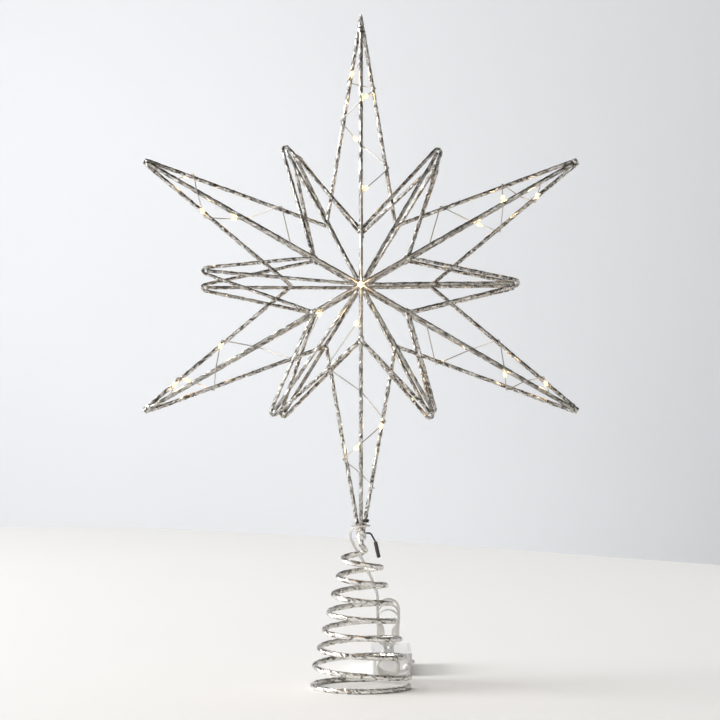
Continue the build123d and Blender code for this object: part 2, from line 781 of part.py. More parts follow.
def contact(side, at_front, width):
    """A contact plate against the end of the cell bay, with a pad for each cell."""
    depth = cell_end_space - touch_gap
    wall = cell_bay_front if at_front else case_rear - case_wall
    way = 1 if at_front else -1
    middle_x = case_x + side * cell_offset
    near, far = sorted((wall + way * touch_gap, wall + way * contact_plate))
    plate = block(
        (middle_x - width / 2, near, cell_z - contact_side / 2),
        (middle_x + width / 2, far, cell_z + contact_side / 2),
    )
    pads = [side] if side else [-1, 1]
    for pad_side in pads:
        pad_middle = (case_x + pad_side * cell_offset, wall + way * touch_gap, cell_z)
        pad_plane = Plane(pad_middle, z_dir=(0, way, 0))
        plate += Solid.make_cylinder(contact_pad_d / 2, depth - touch_gap, pad_plane)
    return solid_of(plate)


def cell_contacts():
    bridge_width = 2 * cell_offset + contact_side
    fronts = [contact(side, True, contact_side) for side in (-1, 1)]
    return group(fronts + [contact(0, False, bridge_width)])


def circuit_board():
    """The board on its two ribs, with its resistor."""
    low_z = case_floor + board_lift + touch_gap
    board = block(
        (board_x - board_length / 2, board_front, low_z),
        (board_x + board_length / 2, board_front + board_width, board_top),
    )
    resistor_y = board_front + board_width * 0.15
    resistor_start = (board_x - board_length / 4, resistor_y, board_top + resistor_d * 0.35)
    resistor = Solid.make_cylinder(resistor_d / 2, board_width * 0.7, Plane(resistor_start, z_dir=(0, 1, 0)))
    return solid_of(board + resistor)


def slide_switch():
    """The switch's can, which stands on the board beside the case's wall."""
    half = switch_length / 2
    middle = board_front + board_width / 2
    return solid_of(
        block(
            (switch_out - switch_depth, middle - half, board_top + touch_gap),
            (switch_out, middle + half, switch_z + knob_height),
        )
    )


def switch_knob():
    """The knob that shows at the case's right side, with its flange inside the wall."""
    half_y, half_z = knob_length / 2, knob_height / 2
    knob = block(
        (flange_out - knob_flange, switch_y - half_y, switch_z - half_z),
        (case_right + knob_proud, switch_y + half_y, switch_z + half_z),
    )
    rim = knob_flange_rim
    knob += block(
        (flange_out - knob_flange, switch_y - half_y - rim, switch_z - half_z - rim),
        (flange_out, switch_y + half_y + rim, switch_z + half_z + rim),
    )
    return solid_of(knob)


def lead_grommet():
    """The tapered strain relief in the case's front wall."""
    plane = Plane(grommet_end, z_dir=(0, 1, 0))
    cone = Solid.make_cone(grommet_end_r, grommet_base_r, grommet_length - touch_gap, plane)
    neck = Solid.make_cylinder(grommet_neck_r, grommet_length + case_wall - touch_gap, plane)
    return solid_of(cone + neck)


# Star wires
for point in long_points.values():
    export(group(point.outline_wire(wire) for wire in ("ccw", "cw")), f"outline_{point.name}")
    export(point.ridge_wire("front"), f"front_ridge_{point.name}")
    export(point.ridge_wire("back"), f"back_ridge_{point.name}")
for side, tip in ((FRONT, 1), (BACK, 2)):
    for name, short in SHORT_POINTS.items():
        export(short_edges(side, short[0], *short[tip]), f"{ridge_name(side)}_short_{name}")
    ridges = [short_ridge(side, short[0], *short[tip]) for short in SHORT_POINTS.values()]
    export(group(ridges), f"{ridge_name(side)}_short_ridges")
export(group(Solid.make_sphere(hub_weld_r, Plane(hub(side))) for side in (FRONT, BACK)), "hub_welds")
capped = [point for point in long_points.values() if point.name != "bottom"]
export(group(tip_cap(point) for point in capped), "tip_caps")
all_bindings = [binding(point, wire) for point in long_points.values() for wire in ("front", "back")]
export(group(all_bindings), "ridge_bindings")

# Lights
beads = [hub_lamp()]
for point in long_points.values():
    export(light_string(point), f"light_string_{point.name}")
    beads += lamps(point)
export(group(beads), "lamp_beads")

# Neck, coil base and lead
export(neck_collar(), "neck_collar")
export(tail_wire(), "tail_wire")
export(tail_cap(), "tail_cap")
export(coil_base(), "coil_base")
export(string_splice(), "string_splice")
export(lead_drop(), "lead_drop")
export(lead_hank(), "lead_hank")
export(lead_foot(), "lead_foot")
export(hank_tie(), "hank_tie")

# Battery case
export(battery_case(), "battery_case")
export(battery_cover(), "battery_cover")
export(group(cell(side) for side in (-1, 1)), "battery_cells")
export(cell_contacts(), "cell_contacts")
export(circuit_board(), "circuit_board")
export(slide_switch(), "slide_switch")
export(switch_knob(), "switch_knob")
export(lead_grommet(), "lead_grommet")
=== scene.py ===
import math

import bpy
import numpy as np
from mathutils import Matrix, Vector


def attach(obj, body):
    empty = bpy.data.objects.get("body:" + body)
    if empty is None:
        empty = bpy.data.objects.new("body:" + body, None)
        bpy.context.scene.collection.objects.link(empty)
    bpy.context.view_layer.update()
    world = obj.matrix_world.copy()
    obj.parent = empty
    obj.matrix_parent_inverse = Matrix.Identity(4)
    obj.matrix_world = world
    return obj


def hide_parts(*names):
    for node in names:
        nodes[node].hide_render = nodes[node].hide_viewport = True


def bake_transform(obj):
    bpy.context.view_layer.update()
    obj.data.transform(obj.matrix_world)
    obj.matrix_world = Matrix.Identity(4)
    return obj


# The looks of a lighted wire star on a coil base. Metres, +Z up, and the star's front faces -Y.

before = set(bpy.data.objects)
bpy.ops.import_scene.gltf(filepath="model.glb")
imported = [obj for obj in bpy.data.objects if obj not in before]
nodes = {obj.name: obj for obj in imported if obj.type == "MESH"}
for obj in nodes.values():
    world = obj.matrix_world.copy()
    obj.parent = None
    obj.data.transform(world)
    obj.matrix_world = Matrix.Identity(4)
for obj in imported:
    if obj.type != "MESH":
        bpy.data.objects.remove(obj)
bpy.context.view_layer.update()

MM = 0.001

# Star, as in the part
star_centre = Vector((0, 0, 261.0)) * MM
side_end_reach = 158.0 * MM  # star's centre to where a side point's wires end
top_end_reach = 164.5 * MM
bottom_end_reach = 158.0 * MM
valley_reach = 45.0 * MM
notch_reach = 35.0 * MM
hub_depth = 38.0 * MM
hub_weld_r = 2.6 * MM
bunch_radius = 1.7 * MM
short_tip_depth = 7.0 * MM
short_bend_radius = 2.0 * MM
short_wire_r = 1.0 * MM
short_ridge_start = 4.6 * MM
short_ridge_setback = 1.0 * MM
binding_length = 4.4 * MM
side_cap_length = 4.5 * MM
top_cap_length = 12.0 * MM

# Coil, as in the part, but its foot is raised for the wrap and its stem ends just below the neck
coil_top_radius = 11.6 * MM
coil_radius_step = 3.06 * MM
coil_pitch = 11.6 * MM
coil_even_turns = 6.25
coil_dip_turns = 0.5
coil_flat_turns = 0.75
coil_floor_z = 1.55 * MM
coil_top_z = 84.0 * MM
coil_lead_in_turns = 0.25
coil_lead_in_radius = 8.5 * MM
stem_top_z = 102.4 * MM
stem_straight = 7.0 * MM
stem_bend_pull = 0.45  # shares of the way from the stem's end to the coil's start
coil_bend_pull = 0.55
stem_bend_steps = 12
coil_table_gap = 0.05 * MM

# Tinsel wrap: facet sizes, and the wire's radius with its wrap
wrap_step = 2.1 * MM
binding_wrap_step = wrap_step / 2
wrap_sides = 9
wrap_turn = 0.55  # most, either way, from one ring of facets to the next
wrap_crumple = 0.12  # share of the radius
frame_wrap_r = 1.27 * MM
short_wrap_r = 1.13 * MM
coil_wrap_r = 1.8 * MM
coil_crumple = 0.06
collar_wrap_r = 3.2 * MM
binding_wrap_r = 1.95 * MM
cap_base_r = 3.0 * MM
cap_end_r = 2.1 * MM
spike_end_r = 0.75 * MM
collar_foot_z = 96.5 * MM
collar_top_z = 102.9 * MM

# Foil's painted reflections: streaks for each millimetre of the wrap, and where they turn from dark to light
# to painted glints
streak_along = 0.34
streak_round = 0.5
streak_fade = 0.07
painted_glint_from = 0.58
painted_glint_full = 0.64
bump_depth = 0.2 * MM
gloss_spread = 0.15  # share of a plain finish's roughness, either way

# Knot of the light string's dark end
knot_turns = 2
knot_steps = 12  # in a turn
knot_step = 0.5 * MM
knot_rise = 4.6 * MM
knot_pitch = 0.95 * MM
knot_r = 1.9 * MM
knot_aside = 0.4 * MM
knot_wire_r = 0.45 * MM
thin_sides = 6  # of the thinnest strands

# Camera, at the photograph's angle
camera_place = Vector((-0.6, -1618.0, 213.0)) * MM
camera_lens = 124.5
camera_sensor = 36.0
camera_far = 50.0

LONG_POINTS = ["top", "upper_left", "lower_left", "bottom", "lower_right", "upper_right"]
SHORT_POINTS = {
    "right": (("lower_right", "upper_right"), (1.1, 103.5), (0.3, 102.0)),
    "high_right": (("upper_right", "top"), (0.1, 103.4), (-2.1, 94.5)),
    "high_left": (("top", "upper_left"), (-1.1, 104.0), (-3.3, 97.0)),
    "left": (("upper_left", "lower_left"), (-5.7, 104.4), (0.4, 105.5)),
    "low_left": (("lower_left", "bottom"), (-4.7, 103.2), (-1.3, 101.0)),
    "low_right": (("bottom", "lower_right"), (-0.1, 96.0), (-1.9, 99.0)),
}
SIDES = {"front": -1, "back": 1}

random_seed = 7
random = np.random.default_rng(random_seed)


def new_material(name):
    """A material with its principled shader."""
    material = bpy.data.materials.new(name)
    material.use_nodes = True
    return material, material.node_tree, material.node_tree.nodes["Principled BSDF"]


def add_node(tree, kind, inputs=None, **settings):
    """A shader node with its settings and constant inputs."""
    node = tree.nodes.new(kind)
    for name, value in settings.items():
        setattr(node, name, value)
    for name, value in (inputs or {}).items():
        node.inputs[name].default_value = value
    return node


def ramp(tree, factor, stops):
    """A colour ramp on a value."""
    node = tree.nodes.new("ShaderNodeValToRGB")
    elements = node.color_ramp.elements
    while len(elements) < len(stops):
        elements.new(0.5)
    for element, (place, colour) in zip(elements, stops):
        element.position = place
        element.color = (*colour, 1)
    tree.links.new(factor, node.inputs["Fac"])
    return node.outputs["Color"]


def tinsel_material(name, dark_reflection, light, painted_glint, dark_reflection_share, patch=1.0):
    """Foil wound on wire, with its reflections painted into its colour: long dark and light streaks and
    near-white painted glints, laid out along the wire.
    """
    material, tree, shader = new_material(name)
    wrap = add_node(tree, "ShaderNodeUVMap", uv_map="wrap").outputs["UV"]
    stretch = add_node(tree, "ShaderNodeMapping", {"Scale": (streak_along / patch, streak_round / patch, 1)})
    tree.links.new(wrap, stretch.inputs["Vector"])
    reflection_streaks = add_node(
        tree,
        "ShaderNodeTexNoise",
        {"Scale": 1.0, "Detail": 4.0, "Roughness": 0.6, "Distortion": 0.8},
    )
    tree.links.new(stretch.outputs["Vector"], reflection_streaks.inputs["Vector"])
    creases = add_node(
        tree,
        "ShaderNodeTexVoronoi",
        {"Scale": 0.75, "Randomness": 1.0},
        feature="DISTANCE_TO_EDGE",
    )
    fine = add_node(tree, "ShaderNodeTexNoise", {"Scale": 2.4, "Detail": 3.0})
    for texture in (creases, fine):
        tree.links.new(wrap, texture.inputs["Vector"])
    # Base colour: the dark and light streaks are painted reflections, and the near-white flecks are painted
    # glints
    stops = [(dark_reflection_share, dark_reflection), (dark_reflection_share + streak_fade, light), (painted_glint_from, light), (painted_glint_full, painted_glint)]
    tree.links.new(ramp(tree, reflection_streaks.outputs["Fac"], stops), shader.inputs["Base Color"])
    rough = ramp(tree, fine.outputs["Fac"], [(0.3, (0.2, 0.2, 0.2)), (0.7, (0.42, 0.42, 0.42))])
    tree.links.new(rough, shader.inputs["Roughness"])
    shader.inputs["Metallic"].default_value = 1.0
    crease_bump = add_node(tree, "ShaderNodeBump", {"Strength": 0.5, "Distance": bump_depth})
    tree.links.new(creases.outputs["Distance"], crease_bump.inputs["Height"])
    fine_bump = add_node(tree, "ShaderNodeBump", {"Strength": 0.25, "Distance": bump_depth})
    tree.links.new(fine.outputs["Fac"], fine_bump.inputs["Height"])
    tree.links.new(crease_bump.outputs["Normal"], fine_bump.inputs["Normal"])
    tree.links.new(fine_bump.outputs["Normal"], shader.inputs["Normal"])
    return material


def plain_material(name, colour, roughness, metallic=0.0, mottle=0.06, scale=300.0, alpha=1.0):
    """A finish with a slight mottle in its colour and its roughness."""
    material, tree, shader = new_material(name)
    place = tree.nodes.new("ShaderNodeTexCoord").outputs["Object"]
    noise = add_node(tree, "ShaderNodeTexNoise", {"Scale": scale, "Detail": 3.0})
    tree.links.new(place, noise.inputs["Vector"])
    low = tuple(channel * (1 - mottle) for channel in colour)
    high = tuple(min(channel * (1 + mottle), 1.0) for channel in colour)
    tree.links.new(ramp(tree, noise.outputs["Fac"], [(0.3, low), (0.7, high)]), shader.inputs["Base Color"])
    glossy = (roughness * (1 - gloss_spread),) * 3
    dull = (min(roughness * (1 + gloss_spread), 1.0),) * 3
    tree.links.new(ramp(tree, noise.outputs["Fac"], [(0.3, glossy), (0.7, dull)]), shader.inputs["Roughness"])
    shader.inputs["Metallic"].default_value = metallic
    shader.inputs["Alpha"].default_value = alpha
    bump = add_node(tree, "ShaderNodeBump", {"Strength": 0.15, "Distance": bump_depth})
    tree.links.new(noise.outputs["Fac"], bump.inputs["Height"])
    tree.links.new(bump.outputs["Normal"], shader.inputs["Normal"])
    return material


def lamp_material():
    """A lit warm white bead of cast resin."""
    material, tree, shader = new_material("lamp_glow")
    shader.inputs["Base Color"].default_value = (0.55, 0.42, 0.22, 1)
    shader.inputs["Roughness"].default_value = 0.25
    place = tree.nodes.new("ShaderNodeTexCoord").outputs["Object"]
    cloud = add_node(tree, "ShaderNodeTexNoise", {"Scale": 900.0, "Detail": 2.0})
    tree.links.new(place, cloud.inputs["Vector"])
    glow = ramp(tree, cloud.outputs["Fac"], [(0.35, (1.0, 0.79, 0.46)), (0.62, (1.0, 0.94, 0.76))])
    tree.links.new(glow, shader.inputs["Emission Color"])
    shader.inputs["Emission Strength"].default_value = 1.1
    return material


def direction(name):
    """Direction of a long point, in degrees from the right."""
    return 90 + 360 / len(LONG_POINTS) * LONG_POINTS.index(name)


def between(first, second):
    """Direction halfway from one long point to the next."""
    return direction(first) + (direction(second) - direction(first)) % 360 / 2


def radial(degrees):
    """Unit vector in the star's plane."""
    angle = math.radians(degrees)
    return Vector((math.cos(angle), 0, math.sin(angle)))


def on_star(reach, degrees, depth=0.0):
    """A point by its distance and direction from the star's centre, and its depth along Y."""
    return star_centre + radial(degrees) * reach + Vector((0, depth, 0))


def hub(side):
    """Middle of the front or the back hub."""
    return star_centre + Vector((0, SIDES[side] * hub_depth, 0))


def end_reach(name):
    """Distance from the star's centre to the ends of a long point's wires."""
    return {"top": top_end_reach, "bottom": bottom_end_reach}.get(name, side_end_reach)


def ridge_line(name, side):
    """Ends of a long ridge's centre line, from the middle of the hub."""
    end = on_star(end_reach(name), direction(name), SIDES[side] * bunch_radius)
    return hub(side), end


def outline_lines(name):
    """Ends of the centre lines of a long point's two outline wires."""
    degrees = direction(name)
    half_step = 180 / len(LONG_POINTS)
    lines = []
    for turn in (1, -1):
        start = on_star(valley_reach, degrees + turn * half_step)
        end = on_star(end_reach(name), degrees) + radial(degrees + turn * 90) * bunch_radius
        lines.append((start, end))
    return lines


def notch(name, side):
    """The place on a long ridge where the short points' edges are bound."""
    start, end = ridge_line(name, side)
    return start + (end - start) * (notch_reach / end_reach(name))


def short_corner(side, beside, lean, tip_reach):
    """The corner that a short point's two edges would meet in without their bend."""
    half_step = math.pi / len(LONG_POINTS)
    half = math.atan2(notch_reach * math.sin(half_step), tip_reach - notch_reach * math.cos(half_step))
    reach = tip_reach - short_wire_r - short_bend_radius + short_bend_radius / math.sin(half)
    return on_star(reach, between(*beside) + lean, SIDES[side] * short_tip_depth)


def short_bend(side, beside, lean, tip_reach):
    """Middle of a short tip's bend, its corner, and the directions of its edges from there."""
    corner = short_corner(side, beside, lean, tip_reach)
    ways = [(notch(name, side) - corner).normalized() for name in beside]
    half_open = ways[0].angle(ways[1]) / 2
    middle = corner + (ways[0] + ways[1]).normalized() * (short_bend_radius / math.sin(half_open))
    return middle, corner, ways


def short_edge_path(side, beside, lean, tip_reach):
    """Points of a short point's bent wire, from one long ridge to the other."""
    middle, corner, ways = short_bend(side, beside, lean, tip_reach)
    half_open = ways[0].angle(ways[1]) / 2
    tangent = short_bend_radius / math.tan(half_open)
    spokes = [(corner + way * tangent - middle) for way in ways]
    turn = math.pi - 2 * half_open
    bend = []
    steps = 10
    for index in range(steps + 1):
        share = index / steps
        first = math.sin((1 - share) * turn) / math.sin(turn)
        second = math.sin(share * turn) / math.sin(turn)
        bend.append(middle + spokes[0] * first + spokes[1] * second)
    return [notch(beside[0], side), *bend, notch(beside[1], side)]


def short_ridge_line(side, beside, lean, tip_reach):
    """Ends of a short ridge's centre line."""
    middle, _, _ = short_bend(side, beside, lean, tip_reach)
    way = (middle - hub(side)).normalized()
    return hub(side) + way * short_ridge_start, middle - way * short_ridge_setback


def coil_at(turn):
    """Centre line of the coil, counted in turns from the first turn's left, anticlockwise from above."""
    dip_end = coil_even_turns + coil_dip_turns
    if turn < 0:
        radius = coil_top_radius + turn / coil_lead_in_turns * (coil_top_radius - coil_lead_in_radius)
    else:
        radius = coil_top_radius + coil_radius_step * min(turn, coil_even_turns + coil_dip_turns / 2)
    dip_z = coil_top_z - coil_pitch * coil_even_turns
    if turn < coil_even_turns:
        height = coil_top_z - coil_pitch * turn
    elif turn < dip_end:
        height = dip_z + (coil_floor_z - dip_z) * (turn - coil_even_turns) / coil_dip_turns
    else:
        height = coil_floor_z
    angle = math.pi + 2 * math.pi * turn
    return Vector((radius * math.cos(angle), radius * math.sin(angle), height))


def coil_path():
    """Points of the stem, its bend into the coil, and the coil."""
    total = coil_even_turns + coil_dip_turns + coil_flat_turns
    steps_a_turn = 40
    count = round((total + coil_lead_in_turns) * steps_a_turn)
    turns = [index / steps_a_turn - coil_lead_in_turns for index in range(count + 1)]
    coil = [coil_at(turn) for turn in turns]
    stem_end = Vector((0, 0, stem_top_z - stem_straight))
    down = Vector((0, 0, -1))
    pull = (coil[0] - stem_end).length
    coil_way = (coil[1] - coil[0]).normalized()
    corners = [
        stem_end,
        stem_end + down * pull * stem_bend_pull,
        coil[0] - coil_way * pull * coil_bend_pull,
        coil[0],
    ]
    bend = []
    for index in range(1, stem_bend_steps):
        t = index / stem_bend_steps
        blend = [(1 - t) ** 3, 3 * (1 - t) ** 2 * t, 3 * (1 - t) * t**2, t**3]
        bend.append(sum((corner * weight for corner, weight in zip(corners, blend)), Vector()))
    return [Vector((0, 0, stem_top_z)), stem_end, *bend, *coil]


def even_points(points, step):
    """A line's points at even steps."""
    line = np.array(points, float)
    lengths = np.concatenate([[0], np.cumsum(np.linalg.norm(np.diff(line, axis=0), axis=1))])
    count = max(round(lengths[-1] / step), 2)
    places = np.linspace(0, lengths[-1], count + 1)
    return np.stack([np.interp(places, lengths, line[:, axis]) for axis in range(3)], axis=1)


def carried_frames(points):
    """Two directions square to a line, carried along it with no twist."""
    tangents = np.gradient(points, axis=0)
    tangents /= np.linalg.norm(tangents, axis=1)[:, None]
    helper = np.array([0, 0, 1.0]) if abs(tangents[0][2]) < 0.9 else np.array([1.0, 0, 0])
    first = np.cross(tangents[0], helper)
    firsts = []
    for tangent in tangents:
        first = first - tangent * (first @ tangent)
        first /= np.linalg.norm(first)
        firsts.append(first)
    firsts = np.array(firsts)
    return firsts, np.cross(tangents, firsts)


def ring_mesh(rings, step=1.0, girth=1.0):
    """Vertices, faces and wrap layout of a tube through rings of points, with its ends closed."""
    count, sides = len(rings), len(rings[0])
    vertices = np.concatenate(rings)
    faces, layout = [], []
    start = random.uniform(0, 1000)
    for ring in range(count - 1):
        along = [start + ring * step, start + (ring + 1) * step]
        for side in range(sides):
            after = (side + 1) % sides
            a, b = ring * sides + side, ring * sides + after
            faces.append((a, b, b + sides, a + sides))
            low, high = girth * side / sides, girth * (side + 1) / sides
            layout += [(along[0], low), (along[0], high), (along[1], high), (along[1], low)]
    faces.append(tuple(range(sides))[::-1])
    faces.append(tuple((count - 1) * sides + side for side in range(sides)))
    layout += [(start, girth * side / sides) for side in range(2 * sides)]
    return vertices, faces, layout


def wrapped_wire(points, radius, end_radius=None, step=wrap_step, crumple=wrap_crumple):
    """Mesh of a wire wrapped in crumpled foil, which lies on it in uneven facets."""
    line = even_points(points, step)
    firsts, seconds = carried_frames(line)
    radii = np.linspace(radius, radius if end_radius is None else end_radius, len(line))
    rings = []
    turn = 0.0
    for index, middle in enumerate(line):
        turn += random.uniform(-wrap_turn, wrap_turn)
        angles = 2 * np.pi * (np.arange(wrap_sides) / wrap_sides) + turn
        reach = (radii[index] * (1 + crumple * random.uniform(-1, 1, wrap_sides)))[:, None]
        ring = np.cos(angles)[:, None] * firsts[index] + np.sin(angles)[:, None] * seconds[index]
        rings.append(middle + reach * ring)
    return ring_mesh(rings, step / MM, 2 * math.pi * radius / MM)


def new_mesh(name, parts, material, smooth=False):
    """One object of several tubes."""
    vertices, faces, layout = [], [], []
    start = 0
    for part_vertices, part_faces, part_layout in parts:
        vertices.append(part_vertices)
        faces += [tuple(start + index for index in face) for face in part_faces]
        layout += part_layout
        start += len(part_vertices)
    mesh = bpy.data.meshes.new(name)
    mesh.from_pydata(np.concatenate(vertices).tolist(), [], faces)
    mesh.uv_layers.new(name="wrap").data.foreach_set("uv", np.array(layout, np.float32).ravel())
    mesh.polygons.foreach_set("use_smooth", [smooth] * len(faces))
    mesh.materials.append(material)
    made = bpy.data.objects.new(name, mesh)
    bpy.context.scene.collection.objects.link(made)
    return made


def stand_in(made, body, slot, *replaced):
    """Puts a new piece in the place of CAD nodes."""
    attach(made, body)
    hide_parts(*replaced)


# Three copies of one tinsel, each with painted reflections and painted glints. The ridges' copy is painted
# darker, with larger patches. The coil's and collar's copy is painted lighter. They are shaded and lit copies
# of one foil.
tinsel = tinsel_material(
    "tinsel",
    dark_reflection=(0.108, 0.097, 0.083),
    light=(0.58, 0.553, 0.515),
    painted_glint=(0.98, 0.97, 0.95),
    dark_reflection_share=0.44,
)
ridge_tinsel_painted_darker = tinsel_material(
    "ridge_tinsel_painted_darker",
    dark_reflection=(0.155, 0.142, 0.123),
    light=(0.47, 0.448, 0.412),
    painted_glint=(0.92, 0.905, 0.88),
    dark_reflection_share=0.42,
    patch=1.6,
)
coil_tinsel_painted_lighter = tinsel_material(
    "coil_tinsel_painted_lighter",
    dark_reflection=(0.25, 0.23, 0.198),
    light=(0.87, 0.852, 0.815),
    painted_glint=(0.99, 0.985, 0.97),
    dark_reflection_share=0.4,
    patch=1.5,
)
weld = plain_material("weld", (0.36, 0.335, 0.30), 0.4, metallic=0.9, mottle=0.3, scale=900.0)
string_wire = plain_material("string_wire", (0.5, 0.47, 0.43), 0.4, metallic=0.7)
lamp_glow = lamp_material()
tail_plastic = plain_material("tail_plastic", (0.06, 0.043, 0.036), 0.45, mottle=0.35, scale=700.0)
clear_plastic = plain_material("clear_plastic", (0.92, 0.91, 0.88), 0.1, mottle=0.04, alpha=0.45)
conductor = plain_material("conductor", (0.72, 0.69, 0.64), 0.35, metallic=0.4)
frosted = plain_material("frosted", (0.98, 0.98, 0.975), 0.4, mottle=0.02, scale=120.0, alpha=0.82)
cell_can = plain_material("cell_can", (0.9, 0.9, 0.895), 0.4, mottle=0.04)
contact_metal = plain_material("contact_metal", (0.82, 0.82, 0.81), 0.3, metallic=0.4)
board = plain_material("board", (0.78, 0.8, 0.76), 0.5)
knob_plastic = plain_material("knob_plastic", (0.88, 0.885, 0.89), 0.4)
white_plastic = plain_material("white_plastic", (0.9, 0.905, 0.91), 0.3, mottle=0.03, alpha=0.7)


def star_wires():
    """The wrapped wires of the star, one piece for each CAD node."""
    for name in LONG_POINTS:
        wires = [wrapped_wire(line, frame_wrap_r) for line in outline_lines(name)]
        stand_in(new_mesh(f"wrapped_outline_{name}", wires, tinsel), "star", "tinsel_wire", f"outline_{name}")
        for side in SIDES:
            start, end = ridge_line(name, side)
            start = start + (end - start).normalized() * hub_weld_r
            wire = wrapped_wire((start, end), frame_wrap_r)
            piece = new_mesh(f"wrapped_{side}_ridge_{name}", [wire], ridge_tinsel_painted_darker)
            stand_in(piece, "star", "tinsel_wire", f"{side}_ridge_{name}")
    for tip, side in enumerate(SIDES):
        ridges = []
        for name, short in SHORT_POINTS.items():
            beside, (lean, tip_reach) = short[0], short[1 + tip]
            path = short_edge_path(side, beside, lean, tip_reach * MM)
            piece = new_mesh(f"wrapped_{side}_short_{name}", [wrapped_wire(path, short_wrap_r)], tinsel)
            stand_in(piece, "star", "tinsel_wire", f"{side}_short_{name}")
            ridges.append(wrapped_wire(short_ridge_line(side, beside, lean, tip_reach * MM), short_wrap_r))
        piece = new_mesh(f"wrapped_{side}_short_ridges", ridges, ridge_tinsel_painted_darker)
        stand_in(piece, "star", "tinsel_wire", f"{side}_short_ridges")


def star_bindings():
    """The foil bound round the ridges, and round the long points' tips."""
    sleeves = []
    caps = []
    for name in LONG_POINTS:
        for side in SIDES:
            start, end = ridge_line(name, side)
            half = (end - start).normalized() * binding_length / 2
            middle = notch(name, side)
            ends = (middle - half, middle + half)
            sleeves.append(wrapped_wire(ends, binding_wrap_r, step=binding_wrap_step))
        if name != "bottom":
            base = on_star(end_reach(name), direction(name))
            length = top_cap_length if name == "top" else side_cap_length
            end_r = spike_end_r if name == "top" else cap_end_r
            tip = base + radial(direction(name)) * length
            caps.append(wrapped_wire((base, tip), cap_base_r, end_r, binding_wrap_step))
    stand_in(new_mesh("wrapped_bindings", sleeves, tinsel), "star", "weld_metal", "ridge_bindings")
    stand_in(new_mesh("wrapped_tips", caps, tinsel), "star", "tinsel_wire", "tip_caps")
    neck = (Vector((0, 0, collar_foot_z)), Vector((0, 0, collar_top_z)))
    collar = wrapped_wire(neck, collar_wrap_r, step=binding_wrap_step)
    # The collar takes the coil's tinsel, which is painted lighter as a lit copy of the star's foil
    stand_in(new_mesh("wrapped_collar", [collar], coil_tinsel_painted_lighter), "star", "weld_metal", "neck_collar")


def tail_knot():
    """The dark end of the light string, wound round the right outline wire above the neck."""
    start, end = outline_lines("bottom")[0]
    way = (start - end).normalized()
    across = Vector((0, 1, 0))
    aside = way.cross(across)
    points = []
    for index in range(knot_turns * knot_steps + 1):
        angle = 2 * math.pi * index / knot_steps
        middle = end + way * (knot_rise + knot_pitch * index / knot_steps) + Vector((knot_aside, 0, 0))
        points.append(middle + (across * math.cos(angle) + aside * math.sin(angle)) * knot_r)
    line = even_points(points, knot_step)
    piece = new_mesh("tail_knot", [strand(line, 0, knot_wire_r, thin_sides)], tail_plastic, True)
    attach(piece, "star")


def coil():
    """The coil's wrapped wire, which gives between the table and the star."""
    vertices, faces, layout = wrapped_wire(coil_path(), coil_wrap_r, crumple=coil_crumple)
    vertices[:, 2] = np.maximum(vertices[:, 2], coil_table_gap)
    # The coil's tinsel is painted lighter than the star's, as a lit copy of the same foil
    piece = new_mesh("wrapped_coil", [(vertices, faces, layout)], coil_tinsel_painted_lighter)
    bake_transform(piece)
    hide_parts("coil_base")


# Lead: its flat twin section, and, as in the part, its route round the neck and behind the coil, and its hank
lead_width = 2.2 * MM
conductor_r = 0.2 * MM
hank_place = Vector((18.0, 36.2, 0)) * MM
hank_lean = math.radians(16)
hank_loops = 3
hank_step = 3.0 * MM
hank_top = 57.0 * MM
hank_top_drop = 5.0 * MM
hank_foot = 1.5 * MM
hank_waist = 21.5 * MM
hank_shoulder = 31.0 * MM
hank_top_half = 7.0 * MM
hank_shoulder_half = 6.5 * MM
hank_shoulder_step = 1.7 * MM
hank_waist_half = 1.7 * MM
hank_foot_half = 7.0 * MM
hank_bend_near = 0.3  # shares of the way from one bend of a loop to the next
hank_bend_far = 0.7
lead_curve_steps = 6
lead_drop_points = [
    (0, 5.0, 105.5),
    (5.0, 5.0, 105.5),
    (5.0, -5.0, 105.3),
    (-5.0, -5.0, 105.1),
    (-7.6, 2.2, 99.5),
    (-5.2, 10.8, 92.6),
    (1.0, 16.6, 82.0),
    (6.6, 18.4, 70.2),
    (11.0, 19.1, 59.6),
]
lead_foot_points = [
    (24.0, 45.6, 4.25),
    (31.0, 49.9, 5.5),
    (31.0, 56.0, 5.5),
]


def hank_points():
    """Control points of the hank's loops, from the first loop's top left, drawn in at the waist."""
    up = Vector((0, -math.sin(hank_lean), math.cos(hank_lean)))
    back = Vector((0, math.cos(hank_lean), math.sin(hank_lean)))
    ease = math.tan(math.pi / 8)
    points = []
    for loop in range(hank_loops + 1):
        shoulder_half = hank_shoulder_half - hank_shoulder_step * min(loop, hank_loops - 1)
        sides = []
        for top_loop in (max(loop - 1, 0), min(loop, hank_loops - 1)):
            top = hank_top - hank_top_drop * top_loop
            bends = [
                (hank_top_half, top - hank_top_half),
                (shoulder_half, hank_shoulder),
                (hank_waist_half, hank_waist),
                (hank_foot_half, hank_foot + hank_foot_half),
            ]
            side = [(hank_top_half, top - hank_top_half * (1 - ease))]
            for (near, high), (far, low) in zip(bends, bends[1:]):
                side.append((near, high + (low - high) * hank_bend_near))
                side.append((far, high + (low - high) * hank_bend_far))
            side.append((hank_foot_half, hank_foot + hank_foot_half * (1 - ease)))
            sides.append(side)
        left = [(-across, along) for across, along in sides[0]]
        foot = [(-hank_foot_half * ease, hank_foot), (hank_foot_half * ease, hank_foot)]
        over = [(hank_top_half * ease, top), (-hank_top_half * ease, top)]
        turn = left + foot + sides[1][::-1] + over
        used = turn if loop < hank_loops else turn[: len(left) + 1]
        for index, (across, along) in enumerate(used):
            deep = hank_step * (loop + index / len(turn))
            points.append(hank_place + Vector((across, 0, 0)) + up * along + back * deep)
    return points


def lead_route():
    """Control points of the lead, from the splice to the battery case."""
    hank = hank_points()
    route = [Vector(point) * MM for point in lead_drop_points]
    return route + hank + [Vector(point) * MM for point in lead_foot_points]


